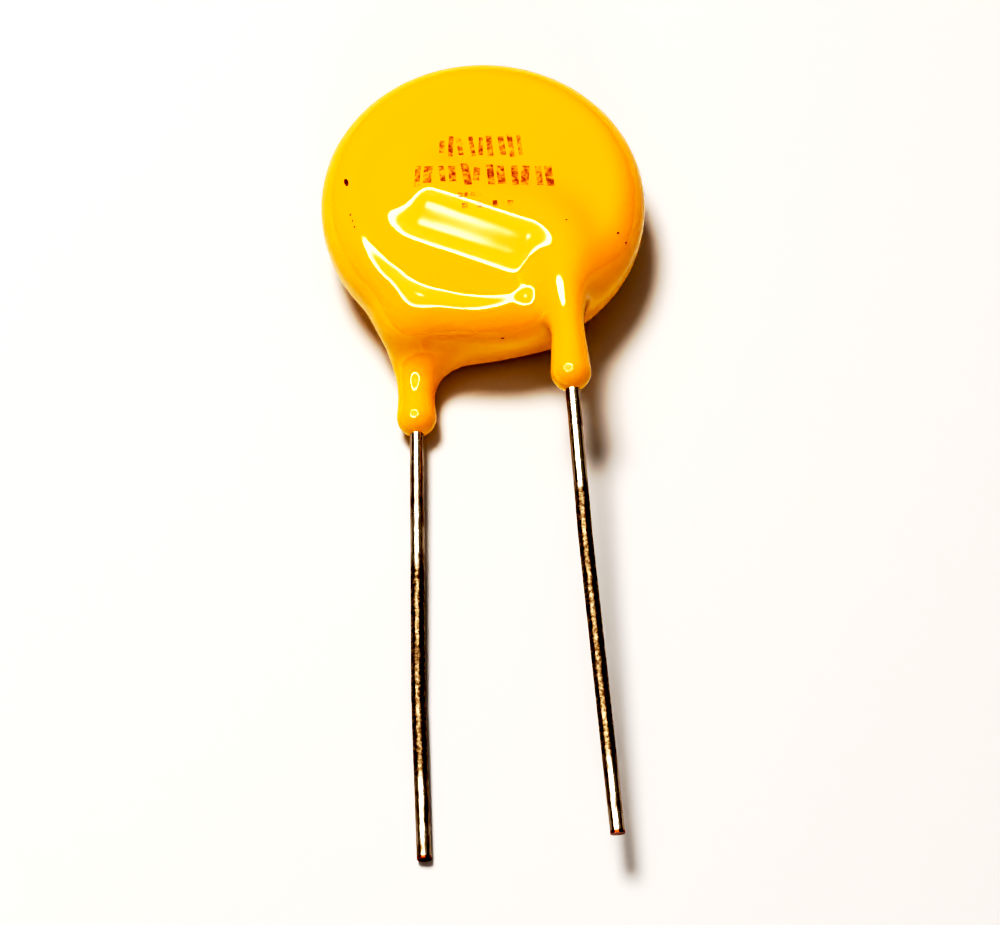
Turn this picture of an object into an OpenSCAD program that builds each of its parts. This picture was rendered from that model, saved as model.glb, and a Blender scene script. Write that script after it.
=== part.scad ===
// Disc varistor with two radial wire leads, dipped in epoxy, lying on its back.
// Millimetres. +Z is up from the surface it lies on, +X is to the right of the marked face,
// and the leads run towards -Y. The origin is the middle of the footprint, on the surface.

/* [Ceramic disc] */

// Diameter of the sintered zinc oxide disc
disc_d = 13.8; // [11:0.1:18]
// Thickness of the disc, which sets the clamping voltage
disc_t = 3.0; // [1.6:0.1:5]

/* [Electrodes] */

// Bare ceramic left around the edge of each silver electrode
electrode_margin = 0.8; // [0.4:0.1:1.5]
// Thickness of the fired silver
electrode_t = 0.05; // [0.03:0.01:0.15]

/* [Leads] */

// Diameter of the tinned wire
lead_d = 0.65; // [0.5:0.05:0.9]
// Distance between the leads, centre to centre, where they leave the coating
lead_pitch = 7.1; // [5:0.1:8]
// Length of bare lead below the coating
lead_free = 20.3; // [16:0.1:40]
// Inside radius of the bend that turns a lead across the disc
cross_bend_r = 1.4; // [0.8:0.1:2]
// Drop of that bend below the centre of the disc, as a share of the disc's diameter
cross_drop_share = 0.197; // [0.16:0.001:0.28]
// Slope of the soldered stretch across the disc, in degrees
cross_angle = 23; // [0:1:35]
// Length of the soldered stretch up to the corner of the bend, as a share of the same
cross_len_share = 0.536; // [0.4:0.001:0.6]

/* [Handling bends] */

// How far out the front lead stands at its tip
front_tip_out = 0.8; // [0:0.05:2]
// Height of the front lead's tip above the surface, to its centre
front_tip_z = 2.55; // [0.5:0.1:4]
// How far out the front lead stands at its kink
front_kink_out = 0.2; // [0:0.05:2]
// Distance of that kink below the coating
front_kink_at = 6.9; // [4:0.1:10]
// How far out the rear lead stands at its tip
rear_tip_out = 0.4; // [0:0.05:2]
// How far out the rear lead stands at its kink
rear_kink_out = 0.4; // [0:0.05:2]
// Distance of that kink below the coating
rear_kink_at = 12.9; // [4:0.1:14]
// Inside radius of the handling bends
handling_bend_r = 3; // [1:0.5:5]

/* [Solder] */

// Solder between the electrode and the underside of the wire
solder_film = 0.04; // [0.02:0.01:0.1]
// Solder around the sides and top of the wire
solder_wrap = 0.28; // [0.15:0.01:0.35]

/* [Coating] */

// Epoxy over the rim of the disc
coat_rim = 0.85; // [0.5:0.05:1.5]
// Epoxy over the face of each electrode
coat_face = 0.85; // [0.6:0.05:1.4]
// Radius that the epoxy rounds off to at the rim
rim_r = 2.1; // [0.6:0.1:2.2]
// Drop of the face from its centre to its edge
face_crown = 0.06; // [0:0.02:0.3]
// Height of the ridge of epoxy above the middle of the soldered wire, before blending
ridge_rise = 0.5; // [0.45:0.01:0.7]
// Radius that the ridge is rounded to over its crest
ridge_round = 2.2; // [0.8:0.1:2.4]
// Radius of a coated leg halfway down
leg_waist_r = 0.76; // [0.6:0.02:1.1]
// Radius of the drop that hangs at the end of a coated leg
leg_drop_r = 0.93; // [0.7:0.01:1.2]
// Length of the coated legs below the edge of the body
leg_len = 3.35; // [2.4:0.05:6]
// How far the body swells past its rim above the rear leg
neck_swell = 0.5; // [0:0.05:0.7]
// Radius of the neck of epoxy at the root of the rear leg
neck_r = 0.8; // [0.6:0.05:1.3]
// How far inwards of the rear leg the neck stands
neck_in = 0.8; // [0:0.05:1]
// Radius of the lower edge of the web between the rear leg and the body
web_r = 0.5; // [0.4:0.05:0.8]
// How far the web hangs below the body beside the rear leg
web_hang = 0.1; // [0:0.05:0.8]
// How far past the middle of the body the web reaches
web_reach = 1.2; // [0:0.1:2.5]
// How far the web has drawn up by its end
web_rise = 0.5; // [0:0.05:0.8]
// How softly the wet epoxy bridges the disc, the ridges and the legs
skin_blend = 1.8; // [1:0.1:2.4]
// How softly the neck and the web bridge each other and the body
drained_blend = 1.2; // [0.6:0.1:1.6]
// Facets of the epoxy skin across the coated disc
skin_facets = 32; // [26:1:38]

/* [Hidden] */

$fn = 64;
FRONT = 1;
REAR = -1;
DOWN = [0, -1, 0];

body_d = disc_d + 2 * coat_rim;
body_t = disc_t + 2 * electrode_t + 2 * coat_face;
rim_flat = 0.1;
rim_fillet = min(rim_r, (body_t - rim_flat) / 2 - face_crown);
electrode_d = disc_d - 2 * electrode_margin;
electrode_top = disc_t / 2 + electrode_t;

// Both leads are laid out on the front; the rear one is the same path turned over.
lead_r = lead_d / 2;
lead_z = electrode_top + solder_film + lead_r;
leg_x = lead_pitch / 2;
leg_end = -body_d / 2 - leg_len;
leg_neck = -body_d / 2 + rim_fillet;
drop_at = [leg_x, leg_end + leg_drop_r, lead_z];
cross_corner = [leg_x, -cross_drop_share * disc_d, lead_z];
cross_dir = [cos(cross_angle), -sin(cross_angle), 0];
cross_end = cross_corner - cross_len_share * disc_d * cross_dir;
cross_setback = cross_bend_r * tan((90 - cross_angle) / 2);
solder_from = cross_end;
solder_to = cross_corner - cross_setback * cross_dir;
solder_r = lead_r + solder_wrap;

tip_y = leg_end - lead_free;
footprint_mid_y = (body_d / 2 + tip_y) / 2;

// ---- Vectors ----

function unit(v) = v / norm(v);
function scaled(v, by) = [v.x * by.x, v.y * by.y, v.z * by.z];
function turned_over(p, side) = [side * p.x, p.y, side * p.z];

// A frame at point o, with its z axis along u and its x axis along n.
function frame(o, n, u) = let (b = cross(u, n))
    [[n.x, b.x, u.x, o.x], [n.y, b.y, u.y, o.y], [n.z, b.z, u.z, o.z], [0, 0, 0, 1]];

// A direction square to u.
function across(u) = unit(cross(u, abs(u.z) < 0.9 ? [0, 0, 1] : [1, 0, 0]));

// ---- Shape of the coating ----
// The wet epoxy is a distance field: a rounded disc and a swelling round each lead, blended
// where they meet as the liquid draws itself in. Its zero surface is the dry skin.

// The smaller of two distances, rounded over where they are within k of each other.
function blend(a, b, k) = let (h = max(k - abs(a - b), 0) / k) min(a, b) - h * h * k / 4;

// A disc with a rounded rim and faces that fall away a little towards it.
function body_field(p) =
    let (rho = norm([p.x, p.y]),
         half = body_t / 2 - face_crown * pow(min(2 * rho / body_d, 1), 2),
         q = [rho - (body_d / 2 - rim_fillet), abs(p.z) - (half - rim_fillet)])
    norm([max(q.x, 0), max(q.y, 0)]) + min(max(q.x, q.y), 0) - rim_fillet;

// A rod from a to b whose radius grows from ra to rb.
function rod_field(p, a, ra, b, rb) =
    let (ab = b - a, t = max(0, min(1, (p - a) * ab / (ab * ab))))
    norm(p - a - t * ab) - ra - t * (rb - ra);

cross_turn = cross_corner + cross_setback * DOWN;
leg_top = [leg_x, leg_neck, lead_z];
leg_waist = (leg_top + drop_at) / 2;
turn_round = (ridge_round + leg_waist_r) / 2;
// Middle of a rounding of radius r whose top is ridge_rise above the middle of the wire at p.
function sunk(p, r) = p + [0, 0, ridge_rise - r];
ridge_from = sunk(cross_end, ridge_round);
ridge_to = sunk(solder_to, ridge_round);
ridge_turn = sunk(cross_turn, turn_round);
function swelling_field(p) =
    min(rod_field(p, ridge_from, ridge_round, ridge_to, ridge_round),
        rod_field(p, ridge_to, ridge_round, ridge_turn, turn_round),
        rod_field(p, ridge_turn, turn_round, leg_top, leg_waist_r),
        rod_field(p, leg_top, leg_waist_r, leg_waist, leg_waist_r),
        rod_field(p, leg_waist, leg_waist_r, drop_at, leg_drop_r));

// The rear leg hung lowest while the epoxy dried, so more of it drained down there: into a
// neck above the leg, and into a web that runs from the leg to the bottom of the body.
neck_top_r = body_t / 2 - neck_swell;
neck_top_rho = body_d / 2 + neck_swell - neck_top_r;
neck_top = [-leg_x, -sqrt(max(neck_top_rho * neck_top_rho - leg_x * leg_x, 0)), 0];
neck_foot = [neck_in - leg_x, neck_r - body_d / 2, -lead_z / 2];
web_from = [web_r - leg_x, web_r - web_hang - body_d / 2, -lead_z];
web_to = [web_reach, web_r + web_rise - body_d / 2, -lead_z];
function drained_field(p) =
    blend(rod_field(p, neck_top, neck_top_r, neck_foot, neck_r),
          rod_field(p, web_from, web_r, web_to, web_r), drained_blend);

function skin_field(p) =
    blend(blend(body_field(p), drained_field(p), drained_blend),
          min(swelling_field(turned_over(p, FRONT)), swelling_field(turned_over(p, REAR))),
          skin_blend);

// Depth of the skin over the rear lead, found by halving. Its deepest place, along the lead or
// in the neck beside it, is what the body lies on: the height of the body's middle.
function skin_depth(p, low = 0, high = body_t, passes = 24) =
    let (z = (low + high) / 2)
    passes == 0 ? z :
    skin_field(turned_over([p.x, p.y, z], REAR)) < 0 ? skin_depth(p, z, high, passes - 1) :
    skin_depth(p, low, z, passes - 1);
lead_route = concat([for (t = [0 : 0.05 : 1]) (1 - t) * cross_end + t * cross_corner],
                    [for (t = [0 : 0.02 : 1]) (1 - t) * cross_corner + t * drop_at]);
mid_z = max([for (p = lead_route, inwards = [0 : 0.2 : neck_in]) skin_depth(p - [inwards, 0, 0])]);

// ---- Leads ----

function bend_angle(p, q, s) = acos(min(1, unit(q - p) * unit(s - q)));
// What a bend of radius r between the stretches p-q and q-s takes from each of them.
function setback(p, q, s, r) = r * tan(bend_angle(p, q, s) / 2);

// Round wire through a list of points, with a true bend at each inner point. It is made as a
// wire bender makes it: each stretch is fed, turned about its own axis and bent.
module wire(points, radii) {
    u = unit(points[1] - points[0]);
    multmatrix(frame(points[0], across(u), u)) wire_from(points, radii, 0, across(u));
}

// The stretch from points[i] and all that follow, with z along the stretch and x along n.
module wire_from(points, radii, i, n) {
    last = len(points) - 1;
    p = points[i];
    q = points[i + 1];
    u = unit(q - p);
    cut_p = i == 0 ? 0 : setback(points[i - 1], p, q, radii[i - 1]);
    cut_q = i == last - 1 ? 0 : setback(p, q, points[i + 2], radii[i]);
    feed = norm(q - p) - cut_p - cut_q;
    cylinder(h = feed, d = lead_d);
    if (i < last - 1) {
        v = unit(points[i + 2] - q);
        sideways = v - (u * v) * u;
        towards = norm(sideways) < 1e-4 ? n : unit(sideways);
        turn = atan2(towards * cross(u, n), towards * n);
        angle = bend_angle(p, q, points[i + 2]);
        r = radii[i];
        translate([r * cos(turn), r * sin(turn), feed]) rotate([0, 0, turn]) {
            bend(angle, r);
            rotate([0, angle, 0]) translate([-r, 0, 0])
                wire_from(points, radii, i + 1, towards * cos(angle) - u * sin(angle));
        }
    }
}

// A bend about the y axis, starting on -x and curling over towards +x. It laps into the straight
// wire at both ends, and is drawn a hair thinner than it, so that the three join as one.
bend_lap = 0.05;
bend_thinning = 0.004;
module bend(angle, r) {
    lap = bend_lap / r * 180 / PI;
    rotate([90, 0, 180]) rotate([0, 0, -lap]) rotate_extrude(angle = angle + 2 * lap)
        translate([r, 0]) circle(d = lead_d - bend_thinning);
}

// The soldered stretch, the leg and the bare lead, with its handling bends.
function lead_points(side, tip_out, tip_z, kink_out, kink_at) =
    let (knee = turned_over(drop_at, side),
         tip = [side * (leg_x + tip_out), tip_y, tip_z - mid_z],
         kink_y = leg_end - kink_at,
         share = (kink_y - knee.y) / (tip.y - knee.y),
         kink = [side * (leg_x + kink_out), kink_y, knee.z + share * (tip.z - knee.z)])
    [turned_over(cross_end, side), turned_over(cross_corner, side), knee, kink, tip];

lead_bends = [cross_bend_r, handling_bend_r, handling_bend_r];
front_points = lead_points(FRONT, front_tip_out, front_tip_z, front_kink_out, front_kink_at);
rear_points = lead_points(REAR, rear_tip_out, lead_r, rear_kink_out, rear_kink_at);

module front_lead() { color("silver") placed() wire(front_points, lead_bends); }
module rear_lead() { color("silver") placed() wire(rear_points, lead_bends); }

// ---- Ceramic, electrodes and solder ----

module placed() { translate([0, -footprint_mid_y, mid_z]) children(); }
module on_side(side) { rotate([0, side == FRONT ? 0 : 180, 0]) children(); }

module disc_blank() { cylinder(h = disc_t, d = disc_d, center = true); }
module electrode_blank(side) {
    on_side(side) translate([0, 0, disc_t / 2]) cylinder(h = electrode_t, d = electrode_d);
}

// Solder that has run along the wire and wetted the silver beneath it.
module solder_blank(side) {
    run = norm(solder_to - solder_from);
    on_side(side) intersection() {
        multmatrix(frame(solder_from, across(cross_dir), cross_dir)) {
            cylinder(h = run, r = solder_r);
            sphere(r = solder_r);
            translate([0, 0, run]) sphere(r = solder_r);
        }
        translate([-disc_d / 2, -disc_d / 2, electrode_top]) cube([disc_d, disc_d, disc_t]);
    }
}

module ceramic_disc() { color("dimgray") placed() disc_blank(); }
module front_electrode() { color("gainsboro") placed() electrode_blank(FRONT); }
module rear_electrode() { color("gainsboro") placed() electrode_blank(REAR); }
module front_solder() {
    color("lightgray") placed() difference() {
        solder_blank(FRONT);
        wire(front_points, lead_bends);
    }
}
module rear_solder() {
    color("lightgray") placed() difference() {
        solder_blank(REAR);
        wire(rear_points, lead_bends);
    }
}

// ---- Coating ----

// Surface nets: one point in each cell that the skin passes through, four to a facet. The
// layers are set so that the crests of both ridges run through the middle of one.
crest_z = skin_depth((cross_end + solder_to) / 2);
skin_layers = round(2 * crest_z * skin_facets / body_d);
skin_cell = [body_d / skin_facets, body_d / skin_facets, 2 * crest_z / skin_layers];
skin_low = [-body_d / 2, leg_end, -crest_z] - scaled([2, 2, 1.5], skin_cell);
skin_high = [body_d / 2, body_d / 2, crest_z] + 2 * skin_cell;
cells = [for (n = [0 : 2]) ceil((skin_high[n] - skin_low[n]) / skin_cell[n])];

corners = [for (n = [0 : 7]) [n % 2, floor(n / 2) % 2, floor(n / 4)]];
edges = [for (a = [0 : 7], b = [a + 1 : 7]) if (norm(corners[a] - corners[b]) == 1) [a, b]];
AXES = [[1, 0, 0], [0, 1, 0], [0, 0, 1]];

function sum(list) = [for (v = list) 1] * list;
function within(p, low, high) = [for (n = [0 : 2]) max(low[n], min(p[n], high[n]))];
function at_cell(c) = skin_low + scaled(c, skin_cell);
function pick(grid, c) = grid[c.x][c.y][c.z];
function flat_index(c) = (c.x * cells.y + c.y) * cells.z + c.z;

function slope(p, h = 0.02) =
    [for (a = AXES) (skin_field(p + h * a) - skin_field(p - h * a)) / (2 * h)];
function settle(p, passes = 2) = passes == 0 ? p :
    let (g = slope(p)) settle(p - g * skin_field(p) / (g * g), passes - 1);

// Where the skin crosses the edges of a cell, averaged and drawn onto the skin. It stays a
// little inside its cell, so no two points come so close that their facets are slivers.
cell_inset = 0.06 * [1, 1, 1];
function cell_point(depth, c) =
    let (v = [for (o = corners) pick(depth, c + o)],
         hits = [for (e = edges) if (v[e[0]] < 0 != v[e[1]] < 0)
             let (t = v[e[0]] / (v[e[0]] - v[e[1]]))
             corners[e[0]] * (1 - t) + corners[e[1]] * t])
    within(settle(at_cell(c + sum(hits) / len(hits))),
           at_cell(c + cell_inset), at_cell(c + [1, 1, 1] - cell_inset));

function crossed(depth, c) =
    let (wet = len([for (o = corners) if (pick(depth, c + o) < 0) 1])) wet > 0 && wet < 8;

// Two triangles for the facet across the grid edge from c along axis a.
function facet(depth, ids, c, a) =
    let (b = (a + 1) % 3, d = (a + 2) % 3, inside = pick(depth, c) < 0,
         around = [c - AXES[b] - AXES[d], c - AXES[d], c, c - AXES[b]],
         n = [for (k = around) ids[flat_index(k)]])
    inside == pick(depth, c + AXES[a]) < 0 ? [] :
    inside ? [[n[0], n[2], n[1]], [n[0], n[3], n[2]]] : [[n[0], n[1], n[2]], [n[0], n[2], n[3]]];

module skin() {
    depth = [for (x = [0 : cells.x]) [for (y = [0 : cells.y]) [for (z = [0 : cells.z])
        skin_field(at_cell([x, y, z]))]]];
    all_cells = [for (x = [0 : cells.x - 1], y = [0 : cells.y - 1], z = [0 : cells.z - 1])
        [x, y, z]];
    marks = [for (c = all_cells) crossed(depth, c) ? 1 : 0];
    ids = [for (n = 0, count = 0; n < len(marks); count = count + marks[n], n = n + 1) count];
    points = [for (n = [0 : len(marks) - 1]) if (marks[n] == 1) cell_point(depth, all_cells[n])];
    faces = [for (x = [1 : cells.x - 1], y = [1 : cells.y - 1], z = [1 : cells.z - 1], a = [0 : 2])
        each facet(depth, ids, [x, y, z], a)];
    polyhedron(points, faces);
}

module coating() {
    color("gold") placed() difference() {
        skin();
        disc_blank();
        electrode_blank(FRONT);
        electrode_blank(REAR);
        solder_blank(FRONT);
        solder_blank(REAR);
        wire(front_points, lead_bends);
        wire(rear_points, lead_bends);
    }
}

coating();
ceramic_disc();
front_electrode();
rear_electrode();
front_solder();
rear_solder();
front_lead();
rear_lead();
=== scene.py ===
import math

import bpy
import numpy as np
from mathutils import Matrix, Vector


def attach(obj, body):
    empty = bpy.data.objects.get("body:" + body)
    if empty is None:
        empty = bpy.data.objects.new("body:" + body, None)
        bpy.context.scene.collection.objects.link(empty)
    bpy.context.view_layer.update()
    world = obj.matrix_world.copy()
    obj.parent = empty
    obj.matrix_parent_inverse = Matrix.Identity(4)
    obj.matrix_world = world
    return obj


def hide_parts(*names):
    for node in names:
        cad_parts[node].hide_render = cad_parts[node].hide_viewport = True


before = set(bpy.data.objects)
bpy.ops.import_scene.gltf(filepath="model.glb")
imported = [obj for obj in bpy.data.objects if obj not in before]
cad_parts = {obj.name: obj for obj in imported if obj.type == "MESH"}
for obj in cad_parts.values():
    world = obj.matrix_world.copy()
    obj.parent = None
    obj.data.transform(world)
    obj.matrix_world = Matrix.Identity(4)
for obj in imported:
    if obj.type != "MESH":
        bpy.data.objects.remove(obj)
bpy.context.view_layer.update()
mm = 0.001
print("frame loaded")

# Where the part is seen from: lengths in millimetres, angles in degrees.
view = {
    "lookAt": (0.24, -0.32, 0.027),
    "distance": 126.57,
    "elevation": 62.96,
    "azimuth": 2.90,
    "roll": 0.22,
    "focalLength": 97.75,
    "sensorWidth": 36.0,
    "clipNear": 1.0,
    "clipFar": 10000.0,
}


def placeCamera(v):
    lift, turn, roll = (math.radians(v[k]) for k in ("elevation", "azimuth", "roll"))
    forward = Vector((math.sin(turn) * math.cos(lift), math.cos(turn) * math.cos(lift), -math.sin(lift)))
    right = Vector((math.cos(turn), -math.sin(turn), 0.0))
    up = right.cross(forward)
    right, up = (math.cos(roll) * right + math.sin(roll) * up,
                 math.cos(roll) * up - math.sin(roll) * right)
    eye = (Vector(v["lookAt"]) - v["distance"] * forward) * mm
    data = bpy.data.cameras.new("camera")
    data.sensor_width = v["sensorWidth"]
    data.lens = v["focalLength"]
    data.clip_start, data.clip_end = v["clipNear"] * mm, v["clipFar"] * mm
    camera = bpy.data.objects.new("camera", data)
    bpy.context.scene.collection.objects.link(camera)
    camera.matrix_world = Matrix.Translation(eye) @ Matrix((right, up, -forward)).transposed().to_4x4()
    bpy.context.scene.camera = camera


placeCamera(view)
print("camera placed")


def linear(hexColour):
    channels = [int(hexColour[i:i + 2], 16) / 255 for i in (1, 3, 5)]
    return tuple(c / 12.92 if c <= 0.04045 else ((c + 0.055) / 1.055) ** 2.4 for c in channels) + (1.0,)


def setStops(elements, stops):
    while len(elements) < len(stops):
        elements.new(0.5)
    for element, (place, colour) in zip(elements, stops):
        element.position, element.color = place, colour


def addNode(tree, kind, settings=None, links=None):
    node = tree.nodes.new(kind)
    for key, value in (settings or {}).items():
        if key == "stops":
            setStops(node.color_ramp.elements, value)
        else:
            setattr(node, key, value)
    for key, value in (links or {}).items():
        if isinstance(value, bpy.types.NodeSocket):
            tree.links.new(value, node.inputs[key])
        else:
            node.inputs[key].default_value = value
    return node


def newMaterial(name):
    material = bpy.data.materials.new(name)
    material.use_nodes = True
    material.node_tree.nodes.clear()
    return material, material.node_tree


def scaleFor(sizeMm):
    # a noise's scale for lumps of this size, as Object coordinates are in metres
    return 1 / (sizeMm * mm)


# Dipped and baked epoxy: deep glossy yellow with the faint orange peel of a skin that levelled by
# itself; painted light makes it a little paler down its sides, where less light falls.
epoxyLook = {
    "face": "#ffa700",
    # painted light: the paler colour where the skin faces sideways, to make up for the light it lacks
    "side": "#ffbe00",
    "sideUp": 0.05,             # the upward share of the normal where the skin is all side
    "faceUp": 1.0,              # and where it is all face
    "mottleMm": 3.0,
    "mottleShare": 0.25,
    "roughness": 0.06,
    "ior": 1.5,
    "rippleMm": 1.1,
    "rippleHeightMm": 0.004,
}


def dippedEpoxy(name, look):
    material, tree = newMaterial(name)
    place = addNode(tree, "ShaderNodeTexCoord").outputs["Object"]
    normal = addNode(tree, "ShaderNodeNewGeometry").outputs["Normal"]
    up = addNode(tree, "ShaderNodeSeparateXYZ", {}, {"Vector": normal}).outputs["Z"]
    mottle = addNode(tree, "ShaderNodeTexNoise", {}, {
        "Vector": place, "Scale": scaleFor(look["mottleMm"]), "Detail": 2.0, "Roughness": 0.5})
    mottleAndPaintedLight = addNode(tree, "ShaderNodeMath", {"operation": "MULTIPLY_ADD"}, {
        0: mottle.outputs["Fac"], 1: look["mottleShare"], 2: up})
    # painted light: the colour goes from the side colour where the skin faces sideways to the face colour
    # where it faces up
    stops = [(look["sideUp"], linear(look["side"])), (look["faceUp"], linear(look["face"]))]
    colour = addNode(tree, "ShaderNodeValToRGB", {"stops": stops}, {"Fac": mottleAndPaintedLight.outputs[0]})
    ripple = addNode(tree, "ShaderNodeTexNoise", {}, {
        "Vector": place, "Scale": scaleFor(look["rippleMm"]), "Detail": 1.0})
    bump = addNode(tree, "ShaderNodeBump", {}, {
        "Height": ripple.outputs["Fac"], "Strength": 1.0, "Distance": look["rippleHeightMm"] * mm})
    shader = addNode(tree, "ShaderNodeBsdfPrincipled", {}, {
        "Base Color": colour.outputs["Color"], "Roughness": look["roughness"], "IOR": look["ior"],
        "Normal": bump.outputs[0]})
    addNode(tree, "ShaderNodeOutputMaterial", {}, {"Surface": shader.outputs[0]})
    return material


# Tinned copper wire: bright tin with fine draw lines along it near its ends, tarnished to a
# speckled brown where it was handled, and bare red copper where the cutters went through.
# Painted shade darkens it to brown down its left and right flanks.
wireLook = {
    "bright": "#efe3d0",
    "dull": "#7a6450",
    # painted shade: the darker brown painted on the wire's left and right flanks
    "paintedShadeFlank": "#6e523a",
    "tarnish": "#50402f",
    "rubbed": "#a8937a",
    "copper": "#8a4a2c",
    "streakMm": 0.09,
    "streakLengthMm": 1.6,
    "streakShare": 0.6,         # of the draw lines, beside the patches
    "patchMm": 1.5,
    "dullAt": 0.62,
    "brightAt": 0.84,
    "flankFrom": 0.45,          # the sideways share of the normal
    "flankTo": 0.95,
    "flankShare": 0.75,
    "raggedMm": 3.0,            # how unevenly the handled stretch begins and ends
    "handledTopMm": (0.8, 2.3),
    "handledEndMm": (0.9, 2.2),
    "speckleMm": 0.16,
    "tarnishAt": 0.4,
    "rubbedAt": 0.68,
    "cutMm": 0.1,
    "roughAt": 0.6,
    "smoothAt": 1.0,
    "rough": 0.38,
    "smooth": 0.16,
    "handledRoughness": 0.16,   # added where it was handled
    "scratchHeightMm": 0.004,
}


def tinnedWire(name, look, tipY, dullTop, dullEnd):
    material, tree = newMaterial(name)
    place = addNode(tree, "ShaderNodeTexCoord").outputs["Object"]
    along = addNode(tree, "ShaderNodeSeparateXYZ", {}, {"Vector": place}).outputs["Y"]
    thin = scaleFor(look["streakMm"])
    stretched = addNode(tree, "ShaderNodeMapping", {}, {
        "Vector": place, "Scale": (thin, scaleFor(look["streakLengthMm"]), thin)})
    streak = addNode(tree, "ShaderNodeTexNoise", {}, {
        "Vector": stretched.outputs[0], "Scale": 1.0, "Detail": 4.0, "Roughness": 0.65})
    patch = addNode(tree, "ShaderNodeTexNoise", {}, {
        "Vector": place, "Scale": scaleFor(look["patchMm"]), "Detail": 3.0})
    both = addNode(tree, "ShaderNodeMath", {"operation": "MULTIPLY_ADD"}, {
        0: streak.outputs["Fac"], 1: look["streakShare"], 2: patch.outputs["Fac"]})
    stops = [(look["dullAt"], linear(look["dull"])), (look["brightAt"], linear(look["bright"]))]
    tin = addNode(tree, "ShaderNodeValToRGB", {"stops": stops}, {"Fac": both.outputs[0]})
    # painted shade: the wire's left and right flanks are painted darker brown, by how far its normal points
    # sideways
    normal = addNode(tree, "ShaderNodeNewGeometry").outputs["Normal"]
    facing = addNode(tree, "ShaderNodeSeparateXYZ", {}, {"Vector": normal}).outputs["X"]
    sideways = addNode(tree, "ShaderNodeMath", {"operation": "ABSOLUTE"}, {0: facing})
    paintedShadeFlank = addNode(tree, "ShaderNodeMapRange", {"interpolation_type": "SMOOTHSTEP"}, {
        "Value": sideways.outputs[0], "From Min": look["flankFrom"], "From Max": look["flankTo"],
        "To Min": 0.0, "To Max": look["flankShare"]})
    tinAndPaintedShade = addNode(tree, "ShaderNodeMix", {"data_type": "RGBA"}, {
        0: paintedShadeFlank.outputs[0], 6: tin.outputs["Color"], 7: linear(look["paintedShadeFlank"])})
    # the handled stretch, with a ragged start and end
    ragged = addNode(tree, "ShaderNodeMath", {"operation": "MULTIPLY_ADD"}, {
        0: patch.outputs["Fac"], 1: look["raggedMm"] * mm, 2: along})
    topFrom, topTo = ((dullTop + y) * mm for y in look["handledTopMm"])
    above = addNode(tree, "ShaderNodeMapRange", {"interpolation_type": "SMOOTHSTEP"}, {
        "Value": ragged.outputs[0], "From Min": topFrom, "From Max": topTo, "To Min": 1.0, "To Max": 0.0})
    endFrom, endTo = ((dullEnd + y) * mm for y in look["handledEndMm"])
    below = addNode(tree, "ShaderNodeMapRange", {"interpolation_type": "SMOOTHSTEP"}, {
        "Value": ragged.outputs[0], "From Min": endFrom, "From Max": endTo})
    handled = addNode(tree, "ShaderNodeMath", {"operation": "MULTIPLY"}, {
        0: above.outputs[0], 1: below.outputs[0]})
    speckle = addNode(tree, "ShaderNodeTexNoise", {}, {
        "Vector": place, "Scale": scaleFor(look["speckleMm"]), "Detail": 3.0, "Roughness": 0.7})
    stops = [(look["tarnishAt"], linear(look["tarnish"])), (look["rubbedAt"], linear(look["rubbed"]))]
    brown = addNode(tree, "ShaderNodeValToRGB", {"stops": stops}, {"Fac": speckle.outputs["Fac"]})
    skin = addNode(tree, "ShaderNodeMix", {"data_type": "RGBA"}, {
        0: handled.outputs[0], 6: tinAndPaintedShade.outputs[2], 7: brown.outputs["Color"]})
    cut = addNode(tree, "ShaderNodeMath", {"operation": "LESS_THAN"}, {
        0: along, 1: (tipY + look["cutMm"]) * mm})
    colour = addNode(tree, "ShaderNodeMix", {"data_type": "RGBA"}, {
        0: cut.outputs[0], 6: skin.outputs[2], 7: linear(look["copper"])})
    rough = addNode(tree, "ShaderNodeMapRange", {}, {
        "Value": both.outputs[0], "From Min": look["roughAt"], "From Max": look["smoothAt"],
        "To Min": look["rough"], "To Max": look["smooth"]})
    rubbed = addNode(tree, "ShaderNodeMath", {"operation": "MULTIPLY_ADD"}, {
        0: handled.outputs[0], 1: look["handledRoughness"], 2: rough.outputs[0]})
    bump = addNode(tree, "ShaderNodeBump", {}, {
        "Height": streak.outputs["Fac"], "Strength": 1.0, "Distance": look["scratchHeightMm"] * mm})
    shader = addNode(tree, "ShaderNodeBsdfPrincipled", {}, {
        "Base Color": colour.outputs[2], "Metallic": 1.0, "Roughness": rubbed.outputs[0],
        "Normal": bump.outputs[0]})
    addNode(tree, "ShaderNodeOutputMaterial", {}, {"Surface": shader.outputs[0]})
    return material


# Marking ink stamped on the front and worn thin: brown where it is left, epoxy where it is not.
inkLook = {
    "ink": "#965a00",
    "worn": "#ffa700",
    "wearMm": 0.3,
    "inkAt": 0.38,
    "wornAt": 0.62,
    "roughness": 0.1,
    "ior": 1.5,
}


def wornInk(name, look):
    material, tree = newMaterial(name)
    place = addNode(tree, "ShaderNodeTexCoord").outputs["Object"]
    wear = addNode(tree, "ShaderNodeTexNoise", {}, {
        "Vector": place, "Scale": scaleFor(look["wearMm"]), "Detail": 3.0, "Roughness": 0.7})
    stops = [(look["inkAt"], linear(look["ink"])), (look["wornAt"], linear(look["worn"]))]
    colour = addNode(tree, "ShaderNodeValToRGB", {"stops": stops}, {"Fac": wear.outputs["Fac"]})
    shader = addNode(tree, "ShaderNodeBsdfPrincipled", {}, {
        "Base Color": colour.outputs["Color"], "Roughness": look["roughness"], "IOR": look["ior"]})
    addNode(tree, "ShaderNodeOutputMaterial", {}, {"Surface": shader.outputs[0]})
    return material


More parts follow.
